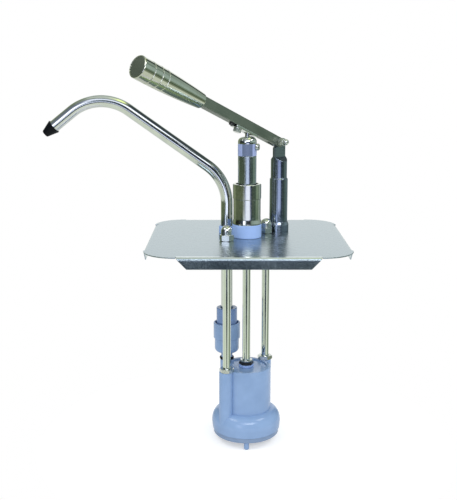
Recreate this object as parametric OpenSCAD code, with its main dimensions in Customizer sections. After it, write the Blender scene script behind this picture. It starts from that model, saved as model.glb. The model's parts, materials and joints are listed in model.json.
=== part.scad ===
// Hand-lever batter dispenser on a square container lid.
// Z is up, the origin is at the middle of the lid's underside, and all lengths are millimetres.
// The lever lies over the diagonal that runs from the front left to the back right.

/* [Lid] */
// Side of the square lid, over its flanges
lid_w = 290; // [280:1:300]
// Thickness of the lid sheet
lid_t = 1.5; // [1.2:0.1:2]
// Radius of the lid's corners
lid_corner_r = 47; // [45:0.5:50]
// Height of a flange, from the upper face of the lid
flange_h = 16.5; // [12:0.5:20]
// Length that each end of a flange loses towards its lower edge
flange_chamfer = 11.4; // [5:0.2:15]
// Outer radius of the bend between lid and flange
bend_r = 4.5; // [3:0.5:4.5]
// Radius of the doubler disc under the middle of the lid
doubler_r = 86; // [84:1:90]
// Thickness of the doubler disc
doubler_t = 2; // [1.5:0.5:3]

/* [Column] */
// Distance from the column's axis to each rod and to the outlet, along X and along Y
pitch = 30; // [30:0.5:31]
// Radius of the blue collar under the column
collar_r = 21.7; // [21:0.1:23]
// Height of the blue collar
collar_h = 19.5; // [15:0.5:22]
// Outer radius of the guide sleeve
sleeve_r = 20.3; // [20:0.1:21]
// Height of the guide sleeve's shoulder, where its cap sits
sleeve_h = 57.6; // [55:0.1:60]
// Outer radius of the sleeve's cap
cap_r = 21; // [20.5:0.1:22]
// Height of the top of the sleeve's cap
cap_h = 79.6; // [78:0.1:81]

/* [Plunger] */
// Outer radius of the plunger head
head_r = 13.7; // [13.5:0.1:14]
// Height of the lower edge of the plastic band
band_low = 120.6; // [118:0.2:121]
// Height of the upper edge of the plastic band
band_top = 138.2; // [137:0.2:139]
// Outer radius of the plastic band and of the dome on it
band_r = 13.9; // [13.8:0.1:14.3]
// Height of the dome
dome_h = 10.4; // [9.4:0.1:10.4]
// Radius of the link stud's neck
stud_r = 3.4; // [3:0.1:3.6]
// Radius of the link stud's ball
ball_r = 4.9; // [4.6:0.1:5]
// Radius of the piston rod
rod_r = 6; // [5.8:0.1:6]

/* [Fulcrum post] */
// Distance from the column's axis to the post's axis, along the diagonal
post_s = 70; // [69:0.5:71]
// Radius of the post's main cylinder
post_r = 13.9; // [13.5:0.1:14]
// Height of the step in the post
post_step = 80.6; // [78:0.2:83]
// Radius of the post above the step
post_neck_r = 12.5; // [12.3:0.1:12.8]
// Height of the ledge where the tongue starts
ledge_h = 114; // [112:0.5:116]
// Width of the tongue, along the diagonal
tongue_w = 22.3; // [22:0.1:23]
// Thickness of the tongue
tongue_t = 6; // [5.5:0.1:6]

/* [Lever] */
// Distance from the column's axis to the pivot, along the diagonal
pivot_s = 62.5; // [62:0.1:63]
// Height of the pivot
pivot_h = 137.7; // [137:0.1:138]
// Angle of the lever above the horizontal at rest
tilt = 22.6; // [22:0.1:23]
// Width of the lever bar
bar_w = 14.2; // [14:0.1:15]
// Depth of the lever bar
bar_d = 14.1; // [14:0.1:15]
// Distance from the pivot to the grip
bar_len = 167.5; // [160:0.5:170]
// Length of the grip
grip_len = 119.2; // [115:0.2:122]
// Largest radius of the grip, near its free end
grip_r = 15.9; // [15:0.1:17]
// Radius of the grip at its neck
grip_neck_r = 11; // [10.4:0.1:12]
// Thickness of the keeper plate under the bar
plate_t = 3.2; // [3:0.1:4]

/* [Spout] */
// Outer radius of the spout tube
tube_r = 9; // [8.9:0.05:9]
// Wall of the spout tube
tube_wall = 1.2; // [1:0.1:1.5]
// Radius of both bends, on the tube's axis
tube_bend = 70; // [69:1:70]
// Height of the top of the upright run, from the lid's underside
tube_upright = 47.5; // [46:0.5:49]
// Length of the sloping run
tube_slope_len = 142; // [140:0.5:144]
// Straight run before the nozzle
tube_end = 35; // [30:0.5:40]
// Length of the nozzle outside the tube
nozzle_len = 18.2; // [15:0.1:20]
// Radius of the nozzle at the tube
nozzle_r = 11; // [10.5:0.1:12]
// Radius of the nozzle's tip
nozzle_tip_r = 5.4; // [5:0.1:6]

/* [Pump body] */
// Depth of the pump body's top below the lid's upper face
body_top = 202.2; // [200:0.1:206]
// Outer radius of the pump cylinder
body_r = 37.8; // [37:0.1:39]
// Radius of the pump's bore
bore_r = 32; // [31.5:0.1:32]
// Depth where the foot's shoulder starts
foot_top = 270; // [268:0.5:272]
// Largest radius of the foot
foot_r = 53; // [52:0.5:54]
// Radius of the foot's rounded shoulder
foot_edge = 20; // [16:0.5:21]
// Depth of the joint between foot and intake plate
plate_joint = 302; // [300:0.5:303]
// Depth of the underside of the intake plate
plate_low = 310; // [309:0.5:312]
// Length of the pegs that the pump stands on
peg_len = 11; // [10:0.5:12]

/* [Stroke] */
// Travel of the piston
stroke = 34; // [30:0.5:34]
// Number of curls of the return spring
curls = 13; // [10:1:14]
// Radius of the return spring's wire
wire_r = 0.8; // [0.7:0.1:0.9]

/* [Hidden] */
$fn = 96;
running = 0.05;
seated = 0.02;
clearance = 0.1;
lug_xy = [[-pitch, -pitch], [pitch, pitch]];
outlet_xy = [-pitch, pitch];
pivot_x = pivot_s * cos(45);
tube_in = tube_r - tube_wall;
bore_top = body_top + 15;
piston_low = level(-(bore_top + 18));
rod_end_r = 4;
rod_top = level(130);
dome_pin_r = 5;
stud_low = level(134.2);
head_low = stroke + 6;
bolt_r = 3;
neck_r = 16;
bush_low = level(45);
spigot_out = 18.4;
spigot_h = 12;
plate_spigot_r = 41.9;
spring_r = 8.9;
spring_low = -10;
spring_top = level(114);
ball_offset = 1.6;
ball_x = -(pivot_s - ball_offset * sin(tilt)) / cos(tilt);
ball_z = level(pivot_h) + pivot_s * tan(tilt) - ball_offset / cos(tilt);
plate_from = -94.5;
plate_to = -48;
hex_bolt_x = -85.1;
cap_screw_x = -99.4;
first_turn = 54.682;
arch_turn = asin(0.96);
tube_low = level(-161.5);
STEEL = [0.72, 0.73, 0.72];
BRIGHT = [0.82, 0.84, 0.85];
PALE_BLUE = [0.62, 0.76, 0.88];
BLUE = [0.53, 0.65, 0.83];
BLACK = [0.09, 0.09, 0.1];

// Height in the part's frame of a point h above the lid's upper face
function level(h) = lid_t + h;

// Puts its children at each lug of the pump
module at_lugs() {
    for (p = lug_xy) translate([p[0], p[1], 0]) children();
}

// Puts its children at the outlet
module at_outlet() {
    translate([outlet_xy[0], outlet_xy[1], 0]) children();
}

// Puts its children at a point of the diagonal, with X along the diagonal
module on_diagonal(s) {
    rotate([0, 0, 45]) translate([s, 0, 0]) children();
}

// Lever frame: origin at the pivot, X down the slope towards the post, Y away from the viewer
module lever_frame() {
    translate([pivot_x, pivot_x, level(pivot_h)]) rotate([0, tilt, 45]) children();
}

// Cylinder between two heights
module rod(low, high, r) {
    translate([0, 0, low]) cylinder(h = high - low, r = r);
}

// Tube between two heights
module ring(low, high, outer, inner) {
    difference() {
        rod(low, high, outer);
        rod(low - 1, high + 1, inner);
    }
}

// Hexagonal prism by its width across flats
module hex(low, high, flats) {
    translate([0, 0, low]) cylinder(h = high - low, r = flats / 2 / cos(30), $fn = 6);
}

// Hexagonal block, its corners cut round at both faces
module hex_block(low, high, flats) {
    corner = flats / 2 / cos(30);
    cut = (corner - flats / 2) * 0.6;
    h = high - low;
    intersection() {
        hex(low, high, flats);
        translate([0, 0, low]) rotate_extrude()
            polygon([[0, 0], [flats / 2, 0], [corner, cut], [corner, h - cut], [flats / 2, h], [0, h]]);
    }
}

// Hexagonal nut with a plain bore
module hex_nut(low, high, flats, bore) {
    difference() {
        hex_block(low, high, flats);
        rod(low - 1, high + 1, bore);
    }
}

// Cap nut: a hexagon with a dome on it and a blind bore from below
module cap_nut(low, flats, hex_h, dome_r, total_h, bore, bore_h) {
    difference() {
        union() {
            hex_block(low, low + hex_h, flats);
            rod(low, low + total_h - dome_r, dome_r);
            translate([0, 0, low + total_h - dome_r]) sphere(r = dome_r);
        }
        rod(low - dome_r, low + bore_h, bore);
    }
}

// Upright cylinder with its upper edge rounded
module rounded_slug(low, high, r, edge) {
    h = high - low;
    translate([0, 0, low]) rotate_extrude() intersection() {
        union() {
            square([r - edge, h]);
            square([r, h - edge]);
            translate([r - edge, h - edge]) circle(r = edge);
        }
        square([r, h]);
    }
}

// The lid

module lid_outline() {
    c = lid_w / 2 - lid_corner_r;
    for (x = [-c, c], y = [-c, c]) translate([x, y]) circle(r = lid_corner_r);
    square([lid_w, 2 * c], center = true);
    square([2 * c, lid_w], center = true);
}

module lid_plate() {
    c = lid_w / 2 - lid_corner_r;
    linear_extrude(lid_t) difference() {
        lid_outline();
        for (a = [0:90:270]) rotate([0, 0, a]) translate([-c, -lid_w / 2 - 1]) square([2 * c, bend_r + 1]);
    }
}

// One down-turned flange, along the lid's front edge
module lid_flange() {
    c = lid_w / 2 - lid_corner_r;
    y = lid_w / 2;
    low = lid_t - flange_h;
    intersection() {
        union() {
            translate([-c, -y, low]) cube([2 * c, lid_t, flange_h - bend_r]);
            translate([-c, -y + bend_r, 0]) cube([2 * c, 1, lid_t]);
            intersection() {
                translate([-c, -y + bend_r, lid_t - bend_r]) rotate([0, 90, 0]) difference() {
                    cylinder(h = 2 * c, r = bend_r);
                    translate([0, 0, -1]) cylinder(h = 2 * c + 2, r = bend_r - lid_t);
                }
                translate([-c, -y, lid_t - bend_r]) cube([2 * c, bend_r, bend_r]);
            }
        }
        translate([0, -y + bend_r + 1, 0]) rotate([90, 0, 0]) linear_extrude(bend_r + 2)
            polygon([[-c + 3 + flange_chamfer, low], [c - 3 - flange_chamfer, low], [c - 3, lid_t - bend_r],
                [c, lid_t], [c, lid_t + 1], [-c, lid_t + 1], [-c, lid_t], [-c + 3, lid_t - bend_r]]);
    }
}

module lid() {
    color(STEEL) difference() {
        union() {
            lid_plate();
            for (a = [0:90:270]) rotate([0, 0, a]) lid_flange();
            rod(-doubler_t, lid_t / 2, doubler_r);
        }
        rod(-5, 5, neck_r + clearance);
        at_lugs() rod(-5, 5, rod_r + clearance);
        at_outlet() rod(-5, 5, tube_r + clearance);
        on_diagonal(post_s) rod(-5, 5, 8 + clearance);
    }
}

// The column over the pump

module column_collar() {
    color(PALE_BLUE) difference() {
        rounded_slug(level(0), level(collar_h), collar_r, 1);
        rod(-1, level(collar_h) + 1, neck_r + running);
    }
}

module guide_sleeve() {
    foot = level(collar_h);
    flare = 0.9;
    h = sleeve_h - collar_h;
    color(STEEL) difference() {
        union() {
            rod(spring_low - 4, foot + 1, neck_r);
            translate([0, 0, foot]) rotate_extrude()
                polygon([[0, 0], [sleeve_r + flare, 0], [sleeve_r + flare, 2], [sleeve_r, 8], [sleeve_r, h],
                    [spigot_out, h], [spigot_out, h + spigot_h], [0, h + spigot_h]]);
        }
        rod(spring_low - 5, 0, rod_r + 0.3);
        rod(spring_low, level(cap_h), head_r + 0.6);
        rod(bush_low, level(cap_h), neck_r + seated);
    }
}

module guide_bush() {
    flange = level(sleeve_h + spigot_h);
    color("white") difference() {
        union() {
            rod(bush_low, flange + 1, neck_r);
            rod(flange, flange + 4, 17.3);
        }
        rod(bush_low - 1, level(cap_h), head_r + running);
    }
}

module sleeve_cap() {
    low = level(sleeve_h);
    color(STEEL) difference() {
        rounded_slug(low, level(cap_h), cap_r, 1.2);
        rod(low - 1, low + spigot_h + 4.2, spigot_out + seated);
        rod(low, level(cap_h) + 1, 16.6);
    }
}

module column_nut() {
    color(BRIGHT) hex_nut(-doubler_t - 8, -doubler_t, 42, neck_r + seated);
}

// The plunger

module plunger_head() {
    color(STEEL) difference() {
        union() {
            rod(level(head_low), level(band_low), head_r);
            rod(level(band_low) - 1, level(band_top), 13);
        }
        rod(level(head_low) - 1, spring_top, spring_r + 2.1);
        rod(level(head_low), rod_top, rod_r + seated);
        rod(rod_top - 1, level(band_top) + 1, dome_pin_r + seated);
        band_screw_frame() rod(0, 20, 2 + seated);
    }
}

module plunger_band() {
    color(BLUE) difference() {
        ring(level(band_low), level(band_top), band_r, 13 + running);
        band_screw_frame() rod(0, 20, 2 + seated);
    }
}

module plunger_dome() {
    color(BRIGHT) difference() {
        union() {
            rounded_slug(level(band_top), level(band_top + dome_h), band_r, 8);
            rod(rod_top + 0.2, level(band_top) + 1, dome_pin_r);
        }
        rod(stud_low - 0.2, level(band_top + dome_h) + 1, stud_r + seated);
    }
}

// Frame of the side screw in the band: Z points out of the band
module band_screw_frame() {
    translate([0, 0, level(133.6)]) rotate([0, 90, -20]) children();
}

module band_screw() {
    color(BRIGHT) band_screw_frame() difference() {
        union() {
            rounded_slug(band_r, band_r + 4.2, 5, 1.2);
            rod(8, band_r + 1, 2);
        }
        hex(band_r + 1.8, band_r + 6, 3);
    }
}

module link_stud() {
    color(BRIGHT) union() {
        rod(stud_low, ball_z, stud_r);
        translate([0, 0, ball_z]) sphere(r = ball_r);
    }
}

module piston_rod() {
    color(BRIGHT) union() {
        rod(piston_low + 14, rod_top - 0.2, rod_r);
        rod(piston_low - 10, piston_low + 15, rod_end_r);
    }
}

module piston() {
    color(BLUE) difference() {
        rod(piston_low, piston_low + 14, bore_r - 0.3);
        ring(piston_low + 4.9, piston_low + 9.1, bore_r + 1, bore_r - 4);
        rod(piston_low - 1, piston_low + 15, rod_end_r + seated);
    }
}

module piston_seal() {
    color(BLACK) ring(piston_low + 5, piston_low + 9, bore_r - running, bore_r - 3.9);
}

module piston_nut() {
    color(BRIGHT) hex_nut(piston_low - 6.5, piston_low, 13, rod_end_r + seated);
}

// Centre line of the return spring at a turn counted from its lower end
function spring_point(turn) =
    [spring_r * cos(360 * turn), spring_r * sin(360 * turn),
        spring_low + wire_r + (spring_top - spring_low - 2 * wire_r) * turn / curls];

// Ring of six points round the wire at a turn
function wire_ring(turn) = [for (k = [0:5])
    spring_point(turn) + wire_r * (cos(60 * k) * [cos(360 * turn), sin(360 * turn), 0]
        + sin(60 * k) * [0, 0, 1])];

module return_spring() {
    steps = curls * 8;
    rings = [for (i = [0:steps]) each wire_ring(i / 8)];
    sides = [for (i = [0:steps - 1], k = [0:5], half = [0, 1])
        let (a = i * 6 + k, b = i * 6 + (k + 1) % 6)
        half == 0 ? [a, b, b + 6] : [a, b + 6, a + 6]];
    low_end = [for (k = [1:4]) [0, k + 1, k]];
    high_end = [for (k = [1:4]) [steps * 6, steps * 6 + k, steps * 6 + k + 1]];
    gap = norm(spring_point(1) - spring_point(0)) - 2 * wire_r;
    echo(least_gap_of_spring = gap);
    color(STEEL) polyhedron(points = rings, faces = concat(sides, low_end, high_end));
}

// The fulcrum post

module post_collar() {
    color(STEEL) on_diagonal(post_s) difference() {
        union() {
            rod(level(0), level(10.5), 16);
            translate([0, 0, level(10.5)]) cylinder(h = 4.5, r1 = 16, r2 = 14.4);
        }
        rod(0, 20, 10 + seated);
    }
}

module fulcrum_post() {
    color(STEEL) on_diagonal(post_s) difference() {
        union() {
            rod(-doubler_t - 13, level(1), 8);
            rod(level(0), level(16), 10);
            rod(level(15), level(post_step), post_r);
            translate([0, 0, level(post_step)])
                cylinder(h = post_r - post_neck_r, r1 = post_r, r2 = post_neck_r);
            difference() {
                rod(level(post_step), level(ledge_h), post_neck_r);
                for (side = [0, 180]) rotate([0, 0, side]) ledge_slope();
            }
            translate([0, tongue_t / 2, 0]) rotate([90, 0, 0]) linear_extrude(tongue_t) tongue_outline();
        }
        translate([pivot_s - post_s, 0, level(pivot_h)]) rotate([90, 0, 0])
            translate([0, 0, -10]) cylinder(h = 20, r = bolt_r + running);
    }
}

// Cut that slopes the ledge down and away from one face of the tongue
module ledge_slope() {
    top = level(ledge_h);
    out = post_neck_r + 1;
    translate([-out, 0, 0]) rotate([90, 0, 90]) linear_extrude(2 * out)
        polygon([[tongue_t / 2, top], [out, top - 6.5], [out, top + 1], [tongue_t / 2, top + 1]]);
}

// Tongue seen from the side: X along the diagonal from the post's axis, Y up
module tongue_outline() {
    low = level(ledge_h - 2);
    high = level(139.5);
    half = tongue_w / 2;
    translate([-half, low]) square([tongue_w, level(129) - low]);
    translate([-half + 3, low]) square([tongue_w - 3, high - 3 - low]);
    translate([-half + 3, low]) square([tongue_w - 6, high - low]);
    translate([half - 3, high - 3]) circle(r = 3);
    translate([pivot_s - post_s, level(pivot_h)]) circle(r = 6.8);
}

module post_nut() {
    color(BRIGHT) on_diagonal(post_s) hex_nut(-doubler_t - 10, -doubler_t, 24, 8 + seated);
}

// The lever

module lever_bar() {
    end = 9;
    corner = 5;
    color(STEEL) lever_frame() difference() {
        union() {
            intersection() {
                translate([-bar_len, 0, 0]) rotate([90, 0, 90]) linear_extrude(bar_len + end) bar_section();
                translate([0, bar_w, 0]) rotate([90, 0, 0]) linear_extrude(2 * bar_w) {
                    translate([-bar_len, -bar_d / 2]) square([bar_len + end - corner, bar_d]);
                    translate([-bar_len, corner - bar_d / 2]) square([bar_len + end, bar_d - 2 * corner]);
                    for (z = [-1, 1]) translate([end - corner, z * (bar_d / 2 - corner)]) circle(r = corner);
                }
            }
            translate([-bar_len - 34, 0, 0]) rotate([0, 90, 0]) cylinder(h = 35, r = 5);
        }
        translate([-18.5, -tongue_t / 2 - 0.3, -bar_d]) cube([40, tongue_t + 0.6, 2 * bar_d]);
        rotate([90, 0, 0]) translate([0, 0, -20]) cylinder(h = 40, r = bolt_r + seated);
        ball_pocket();
        translate([hex_bolt_x, 0, 0]) rod(-bar_d, 3, bolt_r + seated);
        translate([cap_screw_x, 0, 0]) rod(-bar_d, 1, 2.5 + seated);
    }
}

module bar_section() {
    edge = 0.8;
    square([bar_w - 2 * edge, bar_d], center = true);
    square([bar_w, bar_d - 2 * edge], center = true);
    for (x = [-1, 1], y = [-1, 1])
        translate([x * (bar_w / 2 - edge), y * (bar_d / 2 - edge)]) circle(r = edge);
}

// Pocket in the bar's underside that takes the ball of the link stud
module ball_pocket() {
    r = ball_r + 0.4;
    from = ball_x - 0.9;
    to = -pivot_s + 0.9;
    ceiling = -ball_offset + ball_r + 0.9;
    for (x = [from, to]) translate([x, 0, 0]) rod(-bar_d, ceiling, r);
    translate([from, -r, -bar_d]) cube([to - from, 2 * r, bar_d + ceiling]);
}

// Radius of the grip at a distance from its free end
function grip_radius(u) =
    u < 20 ? grip_r : grip_r - (grip_r - grip_neck_r) * pow((u - 20) / (grip_len - 20), 1.8);

module grip() {
    groove = [18, 32, 44];
    color(STEEL) lever_frame() translate([-bar_len - grip_len, 0, 0]) rotate([0, 90, 0]) difference() {
        rotate_extrude() polygon(concat(
            [[0, 0], [grip_r - 1.6, 0], [grip_r - 0.5, 0.5], [grip_r, 1.6]],
            [for (u = [20:9:grip_len - 4]) [grip_radius(u), u]],
            [[grip_radius(grip_len - 2.5), grip_len - 2.5], [grip_neck_r - 0.8, grip_len - 0.8],
                [grip_neck_r - 2, grip_len], [0, grip_len]]));
        for (u = groove) ring(u - 0.6, u + 0.6, grip_r + 2, grip_radius(u) - 0.6);
        rod(-1, 1.2, grip_r - 2.2);
        rod(grip_len - 35, grip_len + 1, 5 + seated);
    }
}

module grip_end_disc() {
    color(BLACK) lever_frame() translate([-bar_len - grip_len, 0, 0]) rotate([0, 90, 0])
        rod(0.4, 1.2, grip_r - 2.2 - seated);
}

module keeper_plate() {
    slot_from = -69.4;
    slot_to = -57;
    half = stud_r + 0.4;
    color(STEEL) lever_frame() difference() {
        translate([plate_from, -bar_w / 2, -bar_d / 2 - plate_t])
            cube([plate_to - plate_from, bar_w, plate_t]);
        for (x = [slot_from + half, slot_to - half]) translate([x, 0, 0]) rod(-20, 0, half);
        translate([slot_from + half, -half, -20]) cube([slot_to - slot_from - 2 * half, 2 * half, 20]);
        translate([hex_bolt_x, 0, 0]) rod(-20, 0, bolt_r + seated);
    }
}

module keeper_bolt() {
    face = -bar_d / 2 - plate_t;
    color(BRIGHT) lever_frame() translate([hex_bolt_x, 0, 0]) union() {
        rotate([0, 0, 30]) hex_block(face - 5.5, face - 1, 10.5);
        rod(face - 1, face, 6);
        rod(face - 5, 2, bolt_r);
    }
}

module keeper_screw() {
    face = -bar_d / 2;
    color(BLACK) lever_frame() translate([cap_screw_x, 0, 0]) difference() {
        union() {
            rod(face - 3, face, 4);
            rod(face - 1, 0.5, 2.5);
        }
        hex(face - 4, face - 1.4, 4);
    }
}

// Frame of the pivot hardware: Z points at the viewer's side
module pivot_frame() {
    lever_frame() rotate([90, 0, 0]) children();
}

module pivot_bolt() {
    color(BRIGHT) pivot_frame() union() {
        rod(-bar_w / 2 - 1, bar_w / 2 + 14, bolt_r);
        hex_block(-bar_w / 2 - 4.2, -bar_w / 2, 10);
    }
}

module pivot_nut() {
    color(BRIGHT) pivot_frame() rotate([0, 0, 15]) hex_nut(bar_w / 2, bar_w / 2 + 5, 10.5, bolt_r + seated);
}

module pivot_cap_nut() {
    color(BRIGHT) pivot_frame() cap_nut(bar_w / 2 + 5, 10.5, 5, 4.6, 12.4, bolt_r + seated, 9.4);
}

// The spout

module spout_collar() {
    color(PALE_BLUE) at_outlet() difference() {
        rounded_slug(level(0), level(11), tube_r + 2.9, 1);
        rod(0, 20, tube_r + seated);
    }
}

module tube_locknut() {
    color(PALE_BLUE) at_outlet() hex_nut(-doubler_t - 8, -doubler_t, 26, tube_r + seated);
}

// Straight run of tube from the local origin upwards
module tube_run(length) {
    ring(0, length, tube_r, tube_in);
}

// Bend from the local origin, curving from Z towards minus X
module tube_bend_run(angle) {
    translate([-tube_bend, 0, 0]) rotate([90, 0, 0]) rotate_extrude(angle = angle)
        translate([tube_bend, 0]) difference() {
            circle(r = tube_r);
            circle(r = tube_in);
        }
}

// Moves its children to the end of such a bend
module after_bend(angle) {
    translate([-tube_bend, 0, 0]) rotate([0, -angle, 0]) translate([tube_bend, 0, 0]) children();
}

// Moves its children to the end of the tube, with Z along the tube
module at_tube_end() {
    at_outlet() translate([0, 0, tube_upright]) after_bend(first_turn)
        translate([0, 0, tube_slope_len]) after_bend(arch_turn)
        translate([0, 0, tube_end]) children();
}

module spout_tube() {
    color(BRIGHT) at_outlet() union() {
        translate([0, 0, tube_low]) tube_run(tube_upright - tube_low);
        translate([0, 0, tube_upright]) {
            tube_bend_run(first_turn);
            after_bend(first_turn) {
                tube_run(tube_slope_len);
                translate([0, 0, tube_slope_len]) {
                    tube_bend_run(arch_turn);
                    after_bend(arch_turn) tube_run(tube_end);
                }
            }
        }
    }
}

module nozzle() {
    color(BLACK) at_tube_end() difference() {
        union() {
            rod(-12, 1, tube_in - seated);
            cylinder(h = nozzle_len, r1 = nozzle_r, r2 = nozzle_tip_r);
        }
        rod(-13, nozzle_len + 1, 3.4);
    }
}

// The rods that carry the pump

module support_rod() {
    rod(level(-(body_top + 26)), level(12), rod_r);
}

module front_support_rod() {
    color(BRIGHT) translate([-pitch, -pitch, 0]) support_rod();
}

module back_support_rod() {
    color(BRIGHT) translate([pitch, pitch, 0]) support_rod();
}

module lid_cap_nuts() {
    color(BRIGHT) at_lugs() cap_nut(level(0), 18.6, 9, 8.4, 22.5, rod_r + seated, 13);
}

module under_lid_nuts() {
    color(BRIGHT) at_lugs() hex_nut(-doubler_t - 6, -doubler_t, 18, rod_r + seated);
}

module lug_nuts() {
    color(BRIGHT) at_lugs() hex_nut(level(-body_top), level(-body_top) + 6.2, 20, rod_r + seated);
}

// The pump

module pump_body() {
    top = level(-body_top);
    joint = level(-plate_joint);
    color(BLUE) difference() {
        union() {
            rod(level(-foot_top) - 1, top, body_r);
            for (b = [[-pitch - 1.4, -pitch + 1.2, 10.2], [pitch, pitch, 9.6], [-pitch, pitch, 10.5]])
                translate([b[0], b[1], 0]) rounded_slug(level(-foot_top) - foot_edge, top, b[2], 0.6);
            rounded_slug(level(-291), level(-foot_top), foot_r, foot_edge);
            translate([0, 0, joint]) cylinder(h = plate_joint - 291 + 0.01, r1 = foot_r - 1, r2 = foot_r);
        }
        rod(top - 2, top + 1, 31);
        rod(joint - 1, level(-bore_top), bore_r);
        rod(joint - 1, joint + 8, plate_spigot_r + clearance);
        rod(level(-bore_top) - 1, top + 1, 9 + seated);
        at_lugs() rod(top - 28, top + 1, rod_r + seated);
        at_outlet() {
            rod(level(-288), top + 1, 6);
            rod(top - 12, top + 1, 7.5 + seated);
        }
        translate([0, 0, level(-282)]) rotate([0, 90, 135]) cylinder(h = pitch / cos(45), r = 5);
        plate_screw_places() rod(joint - 1, joint + 9, 2 + seated);
    }
}

module gland_body() {
    top = level(-body_top) - 2;
    color(PALE_BLUE) difference() {
        union() {
            hex(top, top + 4, 20);
            rod(level(-bore_top) + 0.5, top + 1, 9);
        }
        rod(level(-bore_top), top + 6, rod_r + running);
    }
}

module gland_nut() {
    low = level(-body_top) + 2;
    color(BLACK) hex_nut(low, low + 4.4, 20, rod_r + running);
}

module gland_ring() {
    low = level(-body_top) + 6.4;
    color(BRIGHT) difference() {
        rounded_slug(low, low + 3, 9.5, 1);
        rod(low - 1, low + 4, rod_r + running);
    }
}

module body_seal() {
    joint = level(-plate_joint);
    color(BLACK) ring(joint + 3, joint + 6, plate_spigot_r + clearance - seated, plate_spigot_r - 3);
}

module intake_plate() {
    joint = level(-plate_joint);
    low = level(-plate_low);
    color(BLUE) difference() {
        union() {
            translate([0, 0, low]) cylinder(h = 1.5, r1 = 48.8, r2 = 50.3);
            rod(low + 1.5, joint, 50.3);
            rod(joint - 1, joint + 8, plate_spigot_r - 3 - seated);
            rod(joint - 1, joint + 3, plate_spigot_r);
        }
        rod(low + 6, joint + 9, 29);
        rod(low - 1, joint, 4 + running);
        for (a = [0:60:300]) rotate([0, 0, a + 30]) translate([15, 0, 0]) rod(low - 1, joint, 5.5);
        pegs_places() rod(low - 1, low + 5, 4 + seated);
        plate_screw_places() {
            rod(low - 1, joint + 1, 2 + seated);
            rod(low - 1, low + 3, 3.8);
        }
    }
}

module pegs_places() {
    for (a = [30, 150, 270]) rotate([0, 0, a]) translate([45, 0, 0]) children();
}

module plate_screw_places() {
    for (a = [90, 210, 330]) rotate([0, 0, a]) translate([45.5, 0, 0]) children();
}

module intake_pegs() {
    low = level(-plate_low) - peg_len;
    color(BLUE) pegs_places() union() {
        rod(low + 1.5, low + peg_len + 4.9, 4);
        translate([0, 0, low]) cylinder(h = 1.5, r1 = 2.8, r2 = 4);
    }
}

module plate_screws() {
    low = level(-plate_low);
    color(BRIGHT) plate_screw_places() difference() {
        union() {
            rod(low + 0.4, low + 3, 3.7);
            rod(low + 2, level(-plate_joint) + 8, 2);
        }
        hex(low - 1, low + 1.8, 2.5);
    }
}

module inlet_valve() {
    seat = level(-plate_low) + 6;
    color(BLUE) union() {
        rod(seat + 0.1, seat + 3.1, 24);
        rod(seat - 14.8, seat + 1, 4);
        rounded_slug(seat + 3, seat + 6, 7, 1.5);
    }
}

module inlet_clip() {
    low = level(-plate_low) - 6.6;
    color(BRIGHT) ring(low, low + 1.5, 7, 4 + seated);
}

// The outlet valve on the pump's riser

module valve_body() {
    color(BLUE) at_outlet() difference() {
        union() {
            rod(level(-body_top) - 11.9, level(-189), 7.5);
            rod(level(-body_top), level(-189), 8.9);
            translate([0, 0, level(-190)]) mirror([0, 0, 1]) rounded_slug(-23, 0, 18.9, 7);
            rod(level(-168), level(-148), 16.4);
        }
        rod(level(-230), level(-150), 5);
        rod(level(-184), level(-164), 9.6);
        rod(level(-164.5), level(-140), 10.5);
    }
}

module valve_union() {
    color(BLUE) at_outlet() difference() {
        rod(level(-167), level(-142), 20.7);
        rod(level(-168), level(-141), 16.4 + seated);
        rod(level(-147), level(-141), 18.2);
    }
}

module tube_gland() {
    color(BLUE) at_outlet() difference() {
        union() {
            rounded_slug(level(-146), level(-118), 16, 1.2);
            rod(level(-148), level(-145), 16);
        }
        rod(level(-149), level(-117), tube_r + seated);
    }
}

module tube_seal() {
    color(BLACK) at_outlet() ring(level(-152), level(-148.02), 10.4, tube_r + seated);
}

module ball_stop() {
    color(STEEL) at_outlet() difference() {
        rod(level(-164.5), level(-161.5), 10.4);
        for (a = [45:90:315]) rotate([0, 0, a]) translate([6.2, 0, 0]) rod(level(-165), level(-161), 2.6);
    }
}

module outlet_ball() {
    color(BLACK) at_outlet() translate([0, 0, level(-184) + sqrt(49 - 25) + 0.3]) sphere(r = 7);
}

lid();
column_collar();
guide_sleeve();
guide_bush();
sleeve_cap();
column_nut();
spout_collar();
tube_locknut();
spout_tube();
nozzle();
post_collar();
fulcrum_post();
post_nut();
front_support_rod();
back_support_rod();
lid_cap_nuts();
under_lid_nuts();
lug_nuts();
pump_body();
gland_body();
gland_nut();
gland_ring();
body_seal();
intake_plate();
intake_pegs();
plate_screws();
inlet_valve();
inlet_clip();
valve_body();
valve_union();
tube_gland();
tube_seal();
ball_stop();
outlet_ball();
plunger_head();
plunger_band();
plunger_dome();
band_screw();
link_stud();
piston_rod();
piston();
piston_seal();
piston_nut();
return_spring();
lever_bar();
grip();
grip_end_disc();
keeper_plate();
keeper_bolt();
keeper_screw();
pivot_bolt();
pivot_nut();
pivot_cap_nut();
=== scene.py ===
"""Looks of the hand-lever batter dispenser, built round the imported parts.

Shapes are in millimetres, in the CAD frame, until piece() scales them to metres."""
import json
import math

import bmesh
import bpy
from mathutils import Matrix, Vector


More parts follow.
